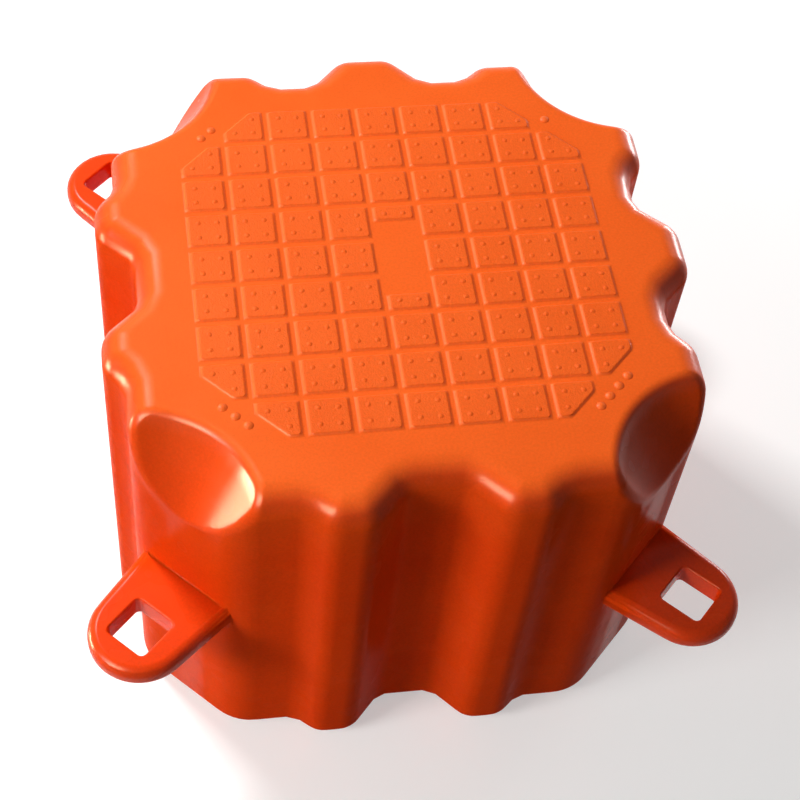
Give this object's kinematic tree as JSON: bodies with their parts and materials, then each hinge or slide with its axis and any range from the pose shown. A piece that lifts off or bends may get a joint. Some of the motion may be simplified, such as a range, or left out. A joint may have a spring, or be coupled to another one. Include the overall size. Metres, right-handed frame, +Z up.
{
  "type": "floating dock cube",
  "caption": "Blow-moulded cube float for a modular dock: tiled non-slip deck, interlocking corrugated walls, scooped pin seats and flat corner lugs at stepped levels.",
  "frame": {"origin": "middle of the flat foot, on the floor", "axes": "+Z up through the deck; -Y is the front and -X the left wall, which carry the ridges; the highest lug stands at -X +Y, and the levels go down from there through -X -Y and +X -Y to +X +Y"},
  "size_m": [0.592, 0.592, 0.402],
  "materials": {
    "orange_polyethylene": "blow-moulded high-density polyethylene, glossy walls and a fine grain on the deck"
  },
  "bodies": {
    "root": {"float_body": "orange_polyethylene"}
  },
  "joints": []
}
